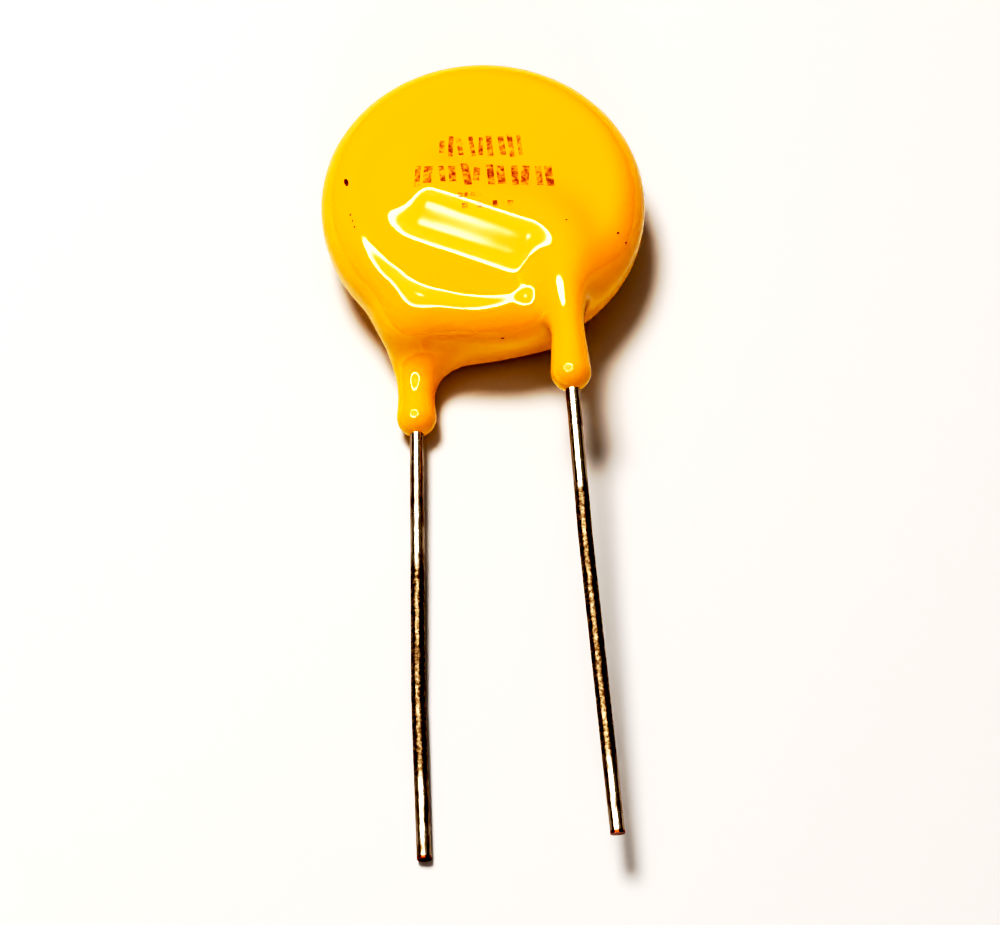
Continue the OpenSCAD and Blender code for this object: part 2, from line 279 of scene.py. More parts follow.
# Plain surfaces with a fine grain: sintered ceramic, fired silver and solder inside the coating,
# dried dirt on it, and the table under it.
plainLooks = {
    "sinteredZincOxide": {"dark": "#3a3a38", "light": "#4c4c49", "grainMm": 0.08, "roughness": 0.8,
                          "metallic": 0.0, "heightMm": 0.004},
    "firedSilver": {"dark": "#d6d2c8", "light": "#e6e3dc", "grainMm": 0.05, "roughness": 0.4,
                    "metallic": 1.0, "heightMm": 0.002},
    "tinSolder": {"dark": "#b0afab", "light": "#c4c3bf", "grainMm": 0.3, "roughness": 0.3,
                  "metallic": 1.0, "heightMm": 0.003},
    "driedDirt": {"dark": "#3a1c04", "light": "#6a3a08", "grainMm": 0.08, "roughness": 0.7,
                  "metallic": 0.0, "heightMm": 0.0},
    "paleTable": {"dark": "#d6d1cd", "light": "#d6d1cd", "grainMm": 0.6, "roughness": 0.7,
                  "metallic": 0.0, "heightMm": 0.0},
}
darkAt, lightAt = 0.35, 0.65      # of the grain


def grainy(name):
    look = plainLooks[name]
    material, tree = newMaterial(name)
    place = addNode(tree, "ShaderNodeTexCoord").outputs["Object"]
    grain = addNode(tree, "ShaderNodeTexNoise", {}, {
        "Vector": place, "Scale": scaleFor(look["grainMm"]), "Detail": 4.0})
    stops = [(darkAt, linear(look["dark"])), (lightAt, linear(look["light"]))]
    colour = addNode(tree, "ShaderNodeValToRGB", {"stops": stops}, {"Fac": grain.outputs["Fac"]})
    links = {"Base Color": colour.outputs["Color"], "Roughness": look["roughness"],
             "Metallic": look["metallic"]}
    if look["heightMm"]:
        bump = addNode(tree, "ShaderNodeBump", {}, {
            "Height": grain.outputs["Fac"], "Strength": 1.0, "Distance": look["heightMm"] * mm})
        links["Normal"] = bump.outputs[0]
    shader = addNode(tree, "ShaderNodeBsdfPrincipled", {}, links)
    addNode(tree, "ShaderNodeOutputMaterial", {}, {"Surface": shader.outputs[0]})
    return material


epoxy = dippedEpoxy("dippedEpoxy", epoxyLook)
ink = wornInk("wornMarkingInk", inkLook)
ceramic = grainy("sinteredZincOxide")
silver = grainy("firedSilver")
solder = grainy("tinSolder")
dirt = grainy("driedDirt")
print("materials made")

# The wet epoxy is a distance field: a rounded disc and a swelling round each lead, blended where
# they meet as the liquid drew itself in. Its zero surface is the dry skin, meshed finely here.
coat = {
    "bodyDiameter": 15.42,
    "bodyThickness": 4.3,
    "rimRadius": 1.8,
    "faceCrown": 0.16,
    "leadOut": 3.55,            # leads to the left and right of the middle
    "leadHeight": 1.915,        # and in front of and behind it
    "crossDrop": 2.719,         # of a lead's corner below the middle
    "crossLength": 7.397,       # of the stretch across the face
    "crossAngle": 23.0,
    "bendRadius": 1.4,
    "legEnd": -11.1,
    "ridgeRise": 0.74,          # of its crest above the wire's middle
    "ridgeShort": 1.15,         # of the wire's end
    "ridgeEndRound": 1.7,
    "ridgeRound": 1.85,
    "ridgeHold": 0.5,           # keeps a ridge from showing on the other face
    "turnRound": 1.1,
    "turnRadius": 2.4,          # the liquid rounds the corner wider than the wire does
    "waistRadius": 0.76,
    "dropRadius": 0.93,         # of the drop that hangs at the end of each leg
    "neckSwell": 0.7,
    "neckDrop": 0.35,
    "neckRadius": 0.8,
    "neckIn": 0.8,
    "webRadius": 0.5,           # of the bead that drained along the lower edge
    "webHang": -0.05,
    "webReach": 2.6,
    "webRise": 1.1,
    "softness": 1.7,
    "drainedSoftness": 1.4,
    "cell": 0.125,
    "roomOver": 0.9,            # meshed above and below the plain disc
    "settleSteps": 3,
}
footprintMiddle = -11.825     # from the disc's centre to the middle of the footprint
bodyHeight = 3.002            # of the disc's centre above the table


def blended(a, b, k):
    h = np.maximum(k - np.abs(a - b), 0) / k
    return np.minimum(a, b) - h * h * k / 4


def rod(p, a, ra, b, rb):
    # two balls and the cone that touches both
    a, b = np.array(a, float), np.array(b, float)
    ab, pa = b - a, p - a
    length2, taper = ab @ ab, ra - rb
    side2 = length2 - taper * taper
    y = pa @ ab
    z = y - length2
    across2 = ((pa * length2 - ab * y[..., None]) ** 2).sum(-1)
    limit = np.sign(taper) * taper * taper * across2
    cone = (np.sqrt(across2 * side2 / length2) + y * taper) / length2 - ra
    ballA = np.sqrt(across2 + y * y * length2) / length2 - ra
    ballB = np.sqrt(across2 + z * z * length2) / length2 - rb
    field = np.where(np.sign(y) * side2 * y * y * length2 < limit, ballA, cone)
    return np.where(np.sign(z) * side2 * z * z * length2 > limit, ballB, field)


def bodyField(p, c):
    rho = np.hypot(p[..., 0], p[..., 1])
    half = c["bodyThickness"] / 2 - c["faceCrown"] * np.minimum(2 * rho / c["bodyDiameter"], 1) ** 2
    r = c["rimRadius"]
    out, over = rho - (c["bodyDiameter"] / 2 - r), np.abs(p[..., 2]) - (half - r)
    return np.hypot(np.maximum(out, 0), np.maximum(over, 0)) + np.minimum(np.maximum(out, over), 0) - r


def leadLayout(c):
    turn = math.radians(c["crossAngle"])
    along = np.array([math.cos(turn), -math.sin(turn), 0.0])
    corner = np.array([c["leadOut"], -c["crossDrop"], c["leadHeight"]])
    end = corner - c["crossLength"] * along
    drop = np.array([c["leadOut"], c["legEnd"] + c["dropRadius"], c["leadHeight"]])
    top = np.array([c["leadOut"], c["rimRadius"] - c["bodyDiameter"] / 2, c["leadHeight"]])
    r, sweep = c["turnRadius"], math.pi / 2 - turn
    setback = r * math.tan(sweep / 2)
    return {"end": end, "ridgeEnd": end + c["ridgeShort"] * along, "corner": corner,
            "turnMiddle": corner - [r, setback, 0], "sweep": sweep,
            "turnStart": corner - setback * along, "turnEnd": corner - [0, setback, 0],
            "top": top, "waist": (top + drop) / 2, "drop": drop}


def turnField(p, c, at, startRound, endRound):
    q = p - at["turnMiddle"]
    angle = np.clip(np.arctan2(q[..., 1], q[..., 0]), 0, at["sweep"])
    radius = endRound + (startRound - endRound) * angle / at["sweep"]
    middleX, middleY = c["turnRadius"] * np.cos(angle), c["turnRadius"] * np.sin(angle)
    across = np.hypot(q[..., 0] - middleX, q[..., 1] - middleY)
    return np.hypot(across, q[..., 2] - c["ridgeRise"] + radius) - radius


def swellingField(p, c, at):
    start, ridge, turn, waist = c["ridgeEndRound"], c["ridgeRound"], c["turnRound"], c["waistRadius"]

    def sunk(place, radius):
        return place + np.array([0, 0, c["ridgeRise"] - radius])

    behind = c["ridgeHold"] * np.maximum(-p[..., 2], 0) ** 2
    return np.minimum.reduce([
        rod(p, sunk(at["ridgeEnd"], start), start, sunk(at["turnStart"], ridge), ridge) + behind,
        turnField(p, c, at, ridge, turn) + behind,
        rod(p, sunk(at["turnEnd"], turn), turn, at["top"], waist),
        rod(p, at["top"], waist, at["waist"], waist),
        rod(p, at["waist"], waist, at["drop"], c["dropRadius"])])


def drainedField(p, c):
    radius, out, depth = c["bodyDiameter"] / 2, c["leadOut"], c["leadHeight"]
    topRadius = c["bodyThickness"] / 2 - c["neckSwell"]
    topRho = radius + c["neckSwell"] - topRadius
    neckTop = [-out, -math.sqrt(topRho ** 2 - out ** 2), -c["neckDrop"]]
    neckFoot = [c["neckIn"] - out, c["neckRadius"] - radius, -depth / 2]
    webFrom = [c["webRadius"] - out, c["webRadius"] - c["webHang"] - radius, -depth]
    webTo = [c["webReach"], c["webRadius"] + c["webRise"] - radius, -depth]
    return blended(rod(p, neckTop, topRadius, neckFoot, c["neckRadius"]),
                   rod(p, webFrom, c["webRadius"], webTo, c["webRadius"]), c["drainedSoftness"])


def skinField(p, c, at):
    body = blended(bodyField(p, c), drainedField(p, c), c["drainedSoftness"])
    turnedOver = p * np.array([-1.0, 1.0, -1.0])
    leads = np.minimum(swellingField(p, c, at), swellingField(turnedOver, c, at))
    return blended(body, leads, c["softness"])


def slope(p, field, h=0.01):
    return np.stack([field(p + h * e) - field(p - h * e) for e in np.eye(3)], -1) / (2 * h)


def surfaceNet(field, low, high, cell, settleSteps):
    # one point in each cell that the skin passes through, four to a facet
    count = np.ceil((np.array(high) - low) / cell).astype(int) + 1
    axes = [low[i] + cell * np.arange(count[i]) for i in range(3)]
    depth = np.empty(count)
    for i, x in enumerate(axes[0]):
        y, z = np.meshgrid(axes[1], axes[2], indexing="ij")
        depth[i] = field(np.stack([np.full_like(y, x), y, z], -1))
    inside = depth < 0
    cells = count - 1

    def corner(grid, o):
        return grid[o[0]:o[0] + cells[0], o[1]:o[1] + cells[1], o[2]:o[2] + cells[2]]

    corners = [(n % 2, n // 2 % 2, n // 4) for n in range(8)]
    wet = sum(corner(inside, o).astype(int) for o in corners)
    used = (wet > 0) & (wet < 8)
    where = np.argwhere(used)
    total, hits = np.zeros((len(where), 3)), np.zeros(len(where))
    values = {o: corner(depth, o)[used] for o in corners}
    for a in corners:
        for b in corners:
            if a < b and sum(abs(i - j) for i, j in zip(a, b)) == 1:
                va, vb = values[a], values[b]
                crossed = (va < 0) != (vb < 0)
                t = np.where(crossed, va / np.where(crossed, va - vb, 1), 0)[:, None]
                total += np.where(crossed[:, None], np.array(a) * (1 - t) + np.array(b) * t, 0)
                hits += crossed
    points = low + cell * (where + total / hits[:, None])
    for _ in range(settleSteps):
        g = slope(points, field)
        points = points - g * (field(points) / (g * g).sum(-1))[:, None]
    ids = np.full(cells, -1)
    ids[used] = np.arange(len(where))
    quads = []
    for a in range(3):
        b, d = (a + 1) % 3, (a + 2) % 3
        stepB, stepD = np.eye(3, dtype=int)[[b, d]]
        before, after = (np.take(inside, range(n, count[a] - 1 + n), a) for n in (0, 1))
        near = np.argwhere(before != after)
        quad = np.stack([ids[tuple((near - s).T)] for s in (stepB + stepD, stepD, 0, stepB)], -1)
        outward = inside[tuple(near.T)]
        quad[~outward] = quad[~outward][:, ::-1]
        quads.append(quad)
    return points, np.concatenate(quads)


def toPart(points):
    return (np.asarray(points, float) + [0, -footprintMiddle, bodyHeight]) * mm


def addPiece(name, points, faces, material, smooth=True):
    mesh = bpy.data.meshes.new(name)
    mesh.from_pydata([tuple(p) for p in points], [], [tuple(int(i) for i in f) for f in faces])
    mesh.materials.append(material)
    mesh.polygons.foreach_set("use_smooth", [smooth] * len(mesh.polygons))
    mesh.update()
    piece = bpy.data.objects.new(name, mesh)
    bpy.context.scene.collection.objects.link(piece)
    return piece


layout = leadLayout(coat)


def coatField(p):
    return skinField(p, coat, layout)


half, margin = coat["bodyDiameter"] / 2, 3 * coat["cell"]
over = coat["bodyThickness"] / 2 + coat["roomOver"]
skinPoints, skinFaces = surfaceNet(
    coatField, np.array([-half - margin, coat["legEnd"] - margin, -over]),
    np.array([half + margin, half + margin, over]), coat["cell"], coat["settleSteps"])
coating = addPiece("epoxyCoating", toPart(skinPoints), skinFaces, epoxy)
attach(coating, "root")
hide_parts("coating")
print("coating made:", len(skinFaces), "facets")


# Geometry node trees: one call starts a tree with its named inputs, the other bakes it to a mesh.
def newTree(name, inputs):
    tree = bpy.data.node_groups.new(name, "GeometryNodeTree")
    tree.interface.new_socket("Geometry", in_out="INPUT", socket_type="NodeSocketGeometry")
    for label, (kind, value) in inputs.items():
        socket = tree.interface.new_socket(label, in_out="INPUT", socket_type="NodeSocket" + kind)
        if value is not None:
            socket.default_value = value
    tree.interface.new_socket("Geometry", in_out="OUTPUT", socket_type="NodeSocketGeometry")
    return tree, addNode(tree, "NodeGroupInput").outputs


def bakeTree(name, tree, values, mesh=None):
    base = bpy.data.objects.new(name + "Base", mesh or bpy.data.meshes.new(name + "Base"))
    bpy.context.scene.collection.objects.link(base)
    modifier = base.modifiers.new(name, "NODES")
    modifier.node_group = tree
    for item in tree.interface.items_tree:
        if item.item_type == "SOCKET" and item.in_out == "INPUT" and item.name in values:
            modifier[item.identifier] = values[item.name]
    graph = bpy.context.evaluated_depsgraph_get()
    mesh = bpy.data.meshes.new_from_object(base.evaluated_get(graph))
    mesh.name = name
    bpy.data.objects.remove(base)
    piece = bpy.data.objects.new(name, mesh)
    bpy.context.scene.collection.objects.link(piece)
    return piece


# The leads: one wire bent along five points, from its end on the ceramic to its cut tip.
wire = {
    "radius": 0.325,
    "free": 20.3,               # below its coated leg
    "handledRadius": 3.0,       # of the slight bends from handling
    "sides": 40,
    "step": 0.2,
    "bendSteps": 12,
    "nick": 0.012,
    "nickEvery": 0.5,
    "nickFrom": 0.55,           # noise levels where a nick starts and is deepest
    "nickTo": 0.8,
}
leadEnds = {
    "frontLead": {"node": "front_lead", "side": 1, "tipOut": 0.8, "tipHeight": 2.55, "kinkOut": 0.2,
                  "kinkAt": 6.9, "dullFrom": 4.4, "dullTo": 17.4, "seed": 3},
    "rearLead": {"node": "rear_lead", "side": -1, "tipOut": 0.4, "tipHeight": 0.325, "kinkOut": 0.4,
                 "kinkAt": 12.9, "dullFrom": 6.2, "dullTo": 17.0, "seed": 8},
}


def leadRoute(c, w, at, e):
    over = np.array([e["side"], 1.0, e["side"]])
    knee = at["drop"] * over
    tip = np.array([e["side"] * (c["leadOut"] + e["tipOut"]), c["legEnd"] - w["free"],
                    e["tipHeight"] - bodyHeight])
    kinkY = c["legEnd"] - e["kinkAt"]
    share = (kinkY - knee[1]) / (tip[1] - knee[1])
    kink = np.array([e["side"] * (c["leadOut"] + e["kinkOut"]), kinkY, knee[2] + share * (tip[2] - knee[2])])
    return ([at["end"] * over, at["corner"] * over, knee, kink, tip],
            [0, c["bendRadius"], w["handledRadius"], w["handledRadius"], 0])


def wireTree(w):
    tree, given = newTree("formedWire", {
        "Radius": ("Float", 0.3), "Sides": ("Int", 32), "Step": ("Float", 0.2),
        "Nick": ("Float", 0.01), "NickScale": ("Float", 1000.0), "Seed": ("Int", 0),
        "Material": ("Material", None)})
    path = addNode(tree, "GeometryNodeMeshToCurve", {}, {"Mesh": given["Geometry"]})
    bend = addNode(tree, "GeometryNodeInputNamedAttribute", {"data_type": "FLOAT"}, {"Name": "bendRadius"})
    rounded = addNode(tree, "GeometryNodeFilletCurve", {"mode": "POLY"}, {
        "Curve": path.outputs[0], "Count": w["bendSteps"], "Radius": bend.outputs[0], "Limit Radius": True})
    even = addNode(tree, "GeometryNodeResampleCurve", {"mode": "LENGTH"}, {
        "Curve": rounded.outputs[0], "Length": given["Step"]})
    section = addNode(tree, "GeometryNodeCurvePrimitiveCircle", {}, {
        "Resolution": given["Sides"], "Radius": given["Radius"]})
    tube = addNode(tree, "GeometryNodeCurveToMesh", {}, {
        "Curve": even.outputs[0], "Profile Curve": section.outputs[0], "Fill Caps": True})
    place = addNode(tree, "GeometryNodeInputPosition").outputs[0]
    normal = addNode(tree, "GeometryNodeInputNormal").outputs[0]
    dents = addNode(tree, "ShaderNodeTexNoise", {"noise_dimensions": "4D"}, {
        "Vector": place, "W": given["Seed"], "Scale": given["NickScale"], "Detail": 1.0})
    sunk = addNode(tree, "ShaderNodeMapRange", {"clamp": True}, {
        "Value": dents.outputs["Fac"], "From Min": w["nickFrom"], "From Max": w["nickTo"],
        "To Min": 0.0, "To Max": -1.0})
    amount = addNode(tree, "ShaderNodeMath", {"operation": "MULTIPLY"}, {
        0: sunk.outputs[0], 1: given["Nick"]})
    push = addNode(tree, "ShaderNodeVectorMath", {"operation": "SCALE"}, {
        0: normal, "Scale": amount.outputs[0]})
    nicked = addNode(tree, "GeometryNodeSetPosition", {}, {
        "Geometry": tube.outputs[0], "Offset": push.outputs[0]})
    smooth = addNode(tree, "GeometryNodeSetShadeSmooth", {}, {
        "Geometry": nicked.outputs[0], "Shade Smooth": True})
    real = addNode(tree, "GeometryNodeRealizeInstances", {}, {"Geometry": smooth.outputs[0]})
    dressed = addNode(tree, "GeometryNodeSetMaterial", {}, {
        "Geometry": real.outputs[0], "Material": given["Material"]})
    addNode(tree, "NodeGroupOutput", {}, {"Geometry": dressed.outputs[0]})
    return tree


formedWire = wireTree(wire)
legY = coat["legEnd"] - footprintMiddle
for name, ends in leadEnds.items():
    route, bends = leadRoute(coat, wire, layout, ends)
    base = bpy.data.meshes.new(name + "Route")
    base.from_pydata([tuple(p) for p in toPart(route)], [(i, i + 1) for i in range(len(route) - 1)], [])
    base.attributes.new("bendRadius", "FLOAT", "POINT").data.foreach_set("value", [r * mm for r in bends])
    tinned = tinnedWire(name + "TinnedCopper", wireLook, legY - wire["free"], legY - ends["dullFrom"],
                        legY - ends["dullTo"])
    lead = bakeTree(name, formedWire, {
        "Radius": wire["radius"] * mm, "Sides": wire["sides"], "Step": wire["step"] * mm,
        "Nick": wire["nick"] * mm, "NickScale": scaleFor(wire["nickEvery"]), "Seed": ends["seed"],
        "Material": tinned}, base)
    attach(lead, "root")
    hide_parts(ends["node"])
print("leads made")

# Four rows of plain bars and dots of ink, the second one boldest, laid onto the skin.
inkRows = {
    "inkRow1": {"y": 2.05, "from": -1.85, "marks": 3, "pitch": 1.42, "bars": 3, "barPitch": 0.42,
                "width": 0.22, "height": 1.25, "seed": 2},
    "inkRow2": {"y": 0.2, "from": -3.05, "marks": 6, "pitch": 1.14, "bars": 2, "barPitch": 0.48,
                "width": 0.32, "height": 1.35, "seed": 5},
    "inkRow3": {"y": -1.05, "from": -1.1, "marks": 2, "pitch": 0.6, "bars": 2, "barPitch": 0.28,
                "width": 0.2, "height": 0.3, "seed": 9},
    "inkRow4": {"y": -1.6, "from": -0.9, "marks": 4, "pitch": 0.7, "bars": 1, "barPitch": 0.3,
                "width": 0.22, "height": 0.34, "seed": 12},
}
inkFilm = {
    "thickness": 0.008,
    "sunk": 0.008,              # into the skin, so that no gap shows under it
    "dropFrom": 8.0,            # height from which the flat row is laid down
    "dropReach": 10.0,
    "mergeWithin": 0.0001,      # joins the film's top and bottom at its edge
    "smallest": (0.7, 0.6, 1.0),      # a bar beside its plain width and height
    "largest": (1.25, 1.05, 1.0),
    "lean": 0.12,               # radians, to either side
}


def inkTree(film):
    tree, given = newTree("stampedRow", {
        "Start": ("Vector", None), "Marks": ("Int", 3), "Pitch": ("Float", 0.001), "Bars": ("Int", 2),
        "BarPitch": ("Float", 0.001), "Width": ("Float", 0.001), "Height": ("Float", 0.001),
        "Thickness": ("Float", 0.00001), "Sunk": ("Float", 0.00001), "Seed": ("Int", 0),
        "Skin": ("Object", None), "Material": ("Material", None)})
    count = addNode(tree, "ShaderNodeMath", {"operation": "MULTIPLY"}, {0: given["Marks"], 1: given["Bars"]})
    row = addNode(tree, "GeometryNodeMeshLine", {}, {
        "Count": count.outputs[0], "Start Location": given["Start"], "Offset": (0.0, 0.0, 0.0)})
    number = addNode(tree, "GeometryNodeInputIndex").outputs[0]
    share = addNode(tree, "ShaderNodeMath", {"operation": "DIVIDE"}, {0: number, 1: given["Bars"]})
    mark = addNode(tree, "ShaderNodeMath", {"operation": "FLOOR"}, {0: share.outputs[0]})
    bar = addNode(tree, "ShaderNodeMath", {"operation": "MODULO"}, {0: number, 1: given["Bars"]})
    inMark = addNode(tree, "ShaderNodeMath", {"operation": "MULTIPLY"}, {
        0: bar.outputs[0], 1: given["BarPitch"]})
    across = addNode(tree, "ShaderNodeMath", {"operation": "MULTIPLY_ADD"}, {
        0: mark.outputs[0], 1: given["Pitch"], 2: inMark.outputs[0]})
    shift = addNode(tree, "ShaderNodeCombineXYZ", {}, {"X": across.outputs[0]})
    spread = addNode(tree, "GeometryNodeSetPosition", {}, {
        "Geometry": row.outputs[0], "Offset": shift.outputs[0]})
    dab = addNode(tree, "GeometryNodeMeshGrid", {}, {
        "Size X": given["Width"], "Size Y": given["Height"], "Vertices X": 4, "Vertices Y": 12})
    size = addNode(tree, "FunctionNodeRandomValue", {"data_type": "FLOAT_VECTOR"}, {
        0: film["smallest"], 1: film["largest"], "Seed": given["Seed"]})
    lean = addNode(tree, "FunctionNodeRandomValue", {"data_type": "FLOAT_VECTOR"}, {
        0: (0.0, 0.0, -film["lean"]), 1: (0.0, 0.0, film["lean"]), "Seed": given["Seed"]})
    dabs = addNode(tree, "GeometryNodeInstanceOnPoints", {}, {
        "Points": spread.outputs[0], "Instance": dab.outputs[0], "Rotation": lean.outputs[0],
        "Scale": size.outputs[0]})
    apart = addNode(tree, "GeometryNodeRealizeInstances", {}, {"Geometry": dabs.outputs[0]})
    skin = addNode(tree, "GeometryNodeObjectInfo", {}, {"Object": given["Skin"]})
    cast = addNode(tree, "GeometryNodeRaycast", {}, {
        0: skin.outputs["Geometry"], "Ray Direction": (0.0, 0.0, -1.0), "Ray Length": film["dropReach"] * mm})
    below = addNode(tree, "ShaderNodeMath", {"operation": "MULTIPLY"}, {0: given["Sunk"], 1: -1.0})
    drop = addNode(tree, "ShaderNodeCombineXYZ", {}, {"Z": below.outputs[0]})
    laid = addNode(tree, "GeometryNodeSetPosition", {}, {
        "Geometry": apart.outputs[0], "Selection": cast.outputs["Is Hit"],
        "Position": cast.outputs["Hit Position"], "Offset": drop.outputs[0]})
    thick = addNode(tree, "ShaderNodeMath", {"operation": "ADD"}, {0: given["Sunk"], 1: given["Thickness"]})
    raised = addNode(tree, "GeometryNodeExtrudeMesh", {}, {
        "Mesh": laid.outputs[0], "Offset": (0.0, 0.0, 1.0), "Offset Scale": thick.outputs[0],
        "Individual": False})
    under = addNode(tree, "GeometryNodeFlipFaces", {}, {"Mesh": laid.outputs[0]})
    closed = addNode(tree, "GeometryNodeJoinGeometry")
    tree.links.new(raised.outputs[0], closed.inputs[0])
    tree.links.new(under.outputs[0], closed.inputs[0])
    merged = addNode(tree, "GeometryNodeMergeByDistance", {}, {
        "Geometry": closed.outputs[0], "Distance": film["mergeWithin"] * mm})
    real = addNode(tree, "GeometryNodeRealizeInstances", {}, {"Geometry": merged.outputs[0]})
    dressed = addNode(tree, "GeometryNodeSetMaterial", {}, {
        "Geometry": real.outputs[0], "Material": given["Material"]})
    addNode(tree, "NodeGroupOutput", {}, {"Geometry": dressed.outputs[0]})
    return tree


stampedRow = inkTree(inkFilm)
for name, row in inkRows.items():
    start = Vector((row["from"] * mm, (row["y"] - footprintMiddle) * mm, inkFilm["dropFrom"] * mm))
    marks = bakeTree(name, stampedRow, {
        "Start": start, "Marks": row["marks"], "Pitch": row["pitch"] * mm, "Bars": row["bars"],
        "BarPitch": row["barPitch"] * mm, "Width": row["width"] * mm, "Height": row["height"] * mm,
        "Thickness": inkFilm["thickness"] * mm, "Sunk": inkFilm["sunk"] * mm, "Seed": row["seed"],
        "Skin": coating, "Material": ink})
    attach(marks, "root")
print("marks stamped")

# Dirt dried onto the coating. Each speck: where it sits from the disc's centre, how long it is
# and how far it is turned.
specks = [
    (-6.40, 0.43, 1.98, 0.42, 112),
    (-6.25, -1.35, 1.98, 0.13, 60),
    (-6.17, -1.69, 1.99, 0.11, 80),
    (-6.08, -2.02, 1.98, 0.12, 70),
    (3.77, -2.56, 2.82, 0.12, 20),
    (6.20, -2.84, 1.87, 0.16, 30),
    (6.57, -3.15, 1.45, 0.12, 50),
    (0.56, -7.64, 0.76, 0.16, 0),
]
speckShape = {
    "width": 0.5,
    "height": 0.16,
    "wobble": 0.35,
    "shrink": -0.15,            # evens out what the wobble adds
    "seed": 4,
}


def speckTree():
    tree, given = newTree("driedSpecks", {
        "Width": ("Float", 0.5), "Height": ("Float", 0.2), "Wobble": ("Float", 0.3),
        "Shrink": ("Float", -0.1), "Seed": ("Int", 0), "Skin": ("Object", None),
        "Material": ("Material", None)})
    skin = addNode(tree, "GeometryNodeObjectInfo", {}, {"Object": given["Skin"]})
    near = addNode(tree, "GeometryNodeProximity", {"target_element": "FACES"}, {
        "Geometry": skin.outputs["Geometry"]})
    settled = addNode(tree, "GeometryNodeSetPosition", {}, {
        "Geometry": given["Geometry"], "Position": near.outputs["Position"]})
    length = addNode(tree, "GeometryNodeInputNamedAttribute", {"data_type": "FLOAT"}, {"Name": "length"})
    turn = addNode(tree, "GeometryNodeInputNamedAttribute", {"data_type": "FLOAT"}, {"Name": "turn"})
    shape = addNode(tree, "ShaderNodeCombineXYZ", {}, {"X": 1.0, "Y": given["Width"], "Z": given["Height"]})
    size = addNode(tree, "ShaderNodeVectorMath", {"operation": "SCALE"}, {
        0: shape.outputs[0], "Scale": length.outputs[0]})
    spin = addNode(tree, "ShaderNodeCombineXYZ", {}, {"Z": turn.outputs[0]})
    ball = addNode(tree, "GeometryNodeMeshIcoSphere", {}, {"Radius": 0.5, "Subdivisions": 3})
    lumps = addNode(tree, "ShaderNodeTexNoise", {"noise_dimensions": "4D"}, {
        "W": given["Seed"], "Scale": 2.0, "Detail": 2.0})
    swell = addNode(tree, "ShaderNodeMath", {"operation": "MULTIPLY_ADD"}, {
        0: lumps.outputs["Fac"], 1: given["Wobble"], 2: given["Shrink"]})
    outward = addNode(tree, "GeometryNodeInputNormal").outputs[0]
    push = addNode(tree, "ShaderNodeVectorMath", {"operation": "SCALE"}, {
        0: outward, "Scale": swell.outputs[0]})
    lump = addNode(tree, "GeometryNodeSetPosition", {}, {
        "Geometry": ball.outputs[0], "Offset": push.outputs[0]})
    placed = addNode(tree, "GeometryNodeInstanceOnPoints", {}, {
        "Points": settled.outputs[0], "Instance": lump.outputs[0], "Rotation": spin.outputs[0],
        "Scale": size.outputs[0]})
    real = addNode(tree, "GeometryNodeRealizeInstances", {}, {"Geometry": placed.outputs[0]})
    dressed = addNode(tree, "GeometryNodeSetMaterial", {}, {
        "Geometry": real.outputs[0], "Material": given["Material"]})
    addNode(tree, "NodeGroupOutput", {}, {"Geometry": dressed.outputs[0]})
    return tree


places = bpy.data.meshes.new("speckPlaces")
places.from_pydata([tuple(p) for p in toPart([s[:3] for s in specks])], [], [])
lengths, turns = [s[3] * mm for s in specks], [math.radians(s[4]) for s in specks]
places.attributes.new("length", "FLOAT", "POINT").data.foreach_set("value", lengths)
places.attributes.new("turn", "FLOAT", "POINT").data.foreach_set("value", turns)
grime = bakeTree("driedSpecks", speckTree(), {
    "Width": speckShape["width"], "Height": speckShape["height"], "Wobble": speckShape["wobble"],
    "Shrink": speckShape["shrink"], "Seed": speckShape["seed"], "Skin": coating, "Material": dirt}, places)
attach(grime, "root")
print("specks placed")

# The inside, which the coating hides.
for node, material in {"ceramic_disc": ceramic, "front_electrode": silver, "rear_electrode": silver,
                       "front_solder": solder, "rear_solder": solder}.items():
    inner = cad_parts[node]
    inner = bpy.data.objects[inner] if isinstance(inner, str) else inner
    inner.data.materials.clear()
    inner.data.materials.append(material)
print("inside dressed")

tableSizeMm = 1200.0
# A round lamp that only reflections show: bright in its middle and round its rim.
lamp = {
    "elevation": 75.0,
    "azimuth": -92.0,
    "distanceMm": 260.0,
    "radiusMm": 120.0,
    "sides": 64,
    "strength": 22.0,
    "glow": [(0.0, 0.8), (0.05, 0.8), (0.15, 0.14), (0.74, 0.14), (0.84, 1.0), (1.0, 1.0)],
}
# Two soft lights that reflections don't show.
lights = {
    "key": {"elevation": 67.0, "azimuth": -33.7, "distanceMm": 300.0, "radiusMm": 50.0, "watts": 1.2},
    "front": {"elevation": 22.0, "azimuth": 178.0, "distanceMm": 300.0, "radiusMm": 60.0, "watts": 0.22},
}
room = {
    "ceiling": "#fff4ea",
    "walls": "#8c8078",
    "wallsAt": 0.1,             # share of the height above the horizon
    "ceilingAt": 0.75,
    "strength": 0.25,
}
contrast = [(0.15, 0.01), (0.32, 0.16), (0.6, 0.62)]      # added to the view's curve


def layTable(sizeMm):
    s = sizeMm / 2
    floor = addPiece("table", np.array([[-s, -s, 0], [s, -s, 0], [s, s, 0], [-s, s, 0]]) * mm, [(0, 1, 2, 3)],
                     grainy("paleTable"), False)


def aimAtPart(thing, spec):
    lift, turn = math.radians(spec["elevation"]), math.radians(spec["azimuth"])
    away = Vector((math.sin(turn) * math.cos(lift), math.cos(turn) * math.cos(lift), math.sin(lift)))
    thing.matrix_world = (Matrix.Translation(away * spec["distanceMm"] * mm)
                          @ away.to_track_quat("Z", "Y").to_matrix().to_4x4())


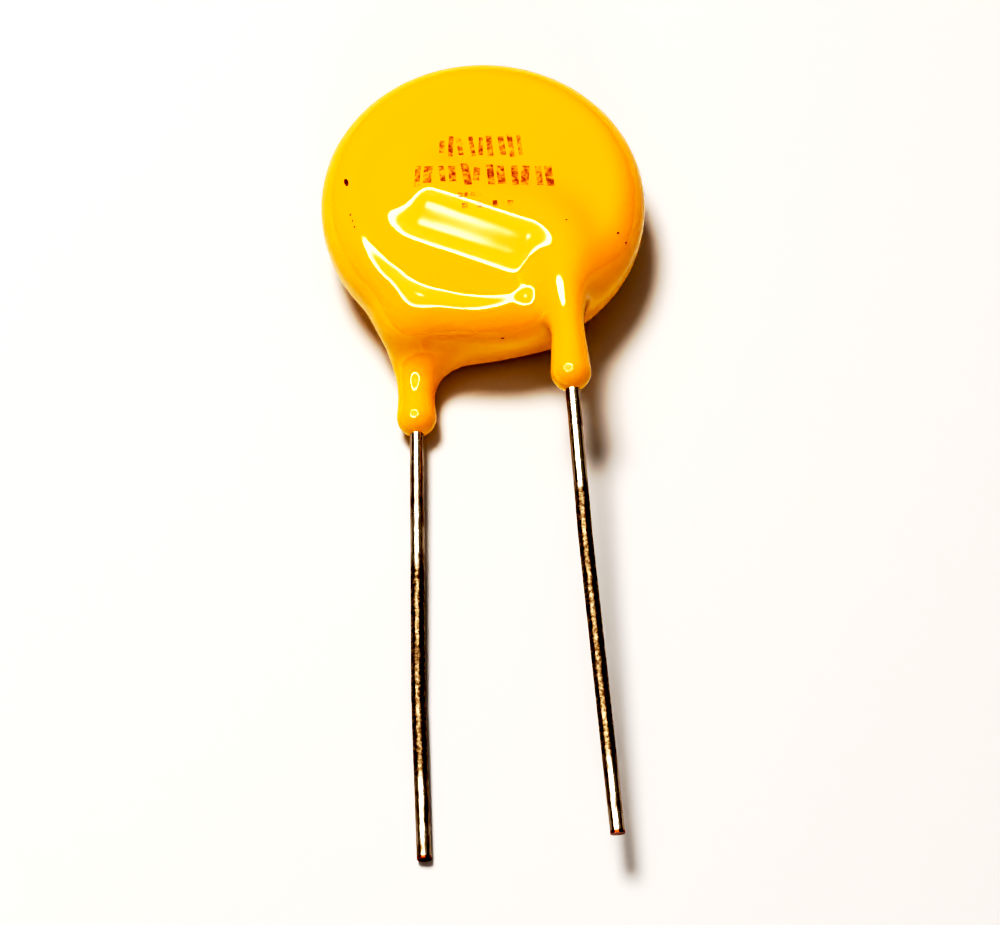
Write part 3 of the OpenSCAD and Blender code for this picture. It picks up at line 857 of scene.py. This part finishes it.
def hangLamp(spec):
    material, tree = newMaterial("lampGlow")
    radius = spec["radiusMm"] * mm
    place = addNode(tree, "ShaderNodeTexCoord").outputs["Object"]
    out = addNode(tree, "ShaderNodeVectorMath", {"operation": "LENGTH"}, {0: place})
    share = addNode(tree, "ShaderNodeMath", {"operation": "DIVIDE"}, {0: out.outputs["Value"], 1: radius})
    stops = [(at, (level, level, level, 1.0)) for at, level in spec["glow"]]
    ring = addNode(tree, "ShaderNodeValToRGB", {"stops": stops}, {"Fac": share.outputs[0]})
    glow = addNode(tree, "ShaderNodeEmission", {}, {
        "Color": ring.outputs["Color"], "Strength": spec["strength"]})
    addNode(tree, "ShaderNodeOutputMaterial", {}, {"Surface": glow.outputs[0]})
    rim = [(radius * math.cos(a), radius * math.sin(a), 0.0)
           for a in np.linspace(0, 2 * math.pi, spec["sides"], endpoint=False)]
    disc = addPiece("lampDisc", rim, [tuple(range(spec["sides"]))], material, False)
    aimAtPart(disc, spec)
    disc.visible_diffuse = False
    disc.visible_shadow = False


def hangLight(name, spec):
    data = bpy.data.lights.new(name, "AREA")
    data.shape, data.size, data.energy = "DISK", 2 * spec["radiusMm"] * mm, spec["watts"]
    light = bpy.data.objects.new(name, data)
    bpy.context.scene.collection.objects.link(light)
    aimAtPart(light, spec)
    light.visible_glossy = False


def lightRoom(spec):
    # pale ceiling over darker walls
    world = bpy.data.worlds.new("room")
    bpy.context.scene.world = world
    world.use_nodes = True
    tree = world.node_tree
    tree.nodes.clear()
    towards = addNode(tree, "ShaderNodeTexCoord").outputs["Generated"]
    height = addNode(tree, "ShaderNodeSeparateXYZ", {}, {"Vector": towards}).outputs["Z"]
    stops = [(spec["wallsAt"], linear(spec["walls"])), (spec["ceilingAt"], linear(spec["ceiling"]))]
    colour = addNode(tree, "ShaderNodeValToRGB", {"stops": stops}, {"Fac": height})
    glow = addNode(tree, "ShaderNodeBackground", {}, {
        "Color": colour.outputs["Color"], "Strength": spec["strength"]})
    addNode(tree, "ShaderNodeOutputWorld", {}, {"Surface": glow.outputs[0]})


def setContrast(points):
    settings = bpy.context.scene.view_settings
    settings.view_transform = "Standard"
    settings.use_curve_mapping = True
    for x, y in points:
        settings.curve_mapping.curves[3].points.new(x, y)
    settings.curve_mapping.update()


layTable(tableSizeMm)
hangLamp(lamp)
for name, spec in lights.items():
    hangLight(name, spec)
lightRoom(room)
setContrast(contrast)
print("table and light set")
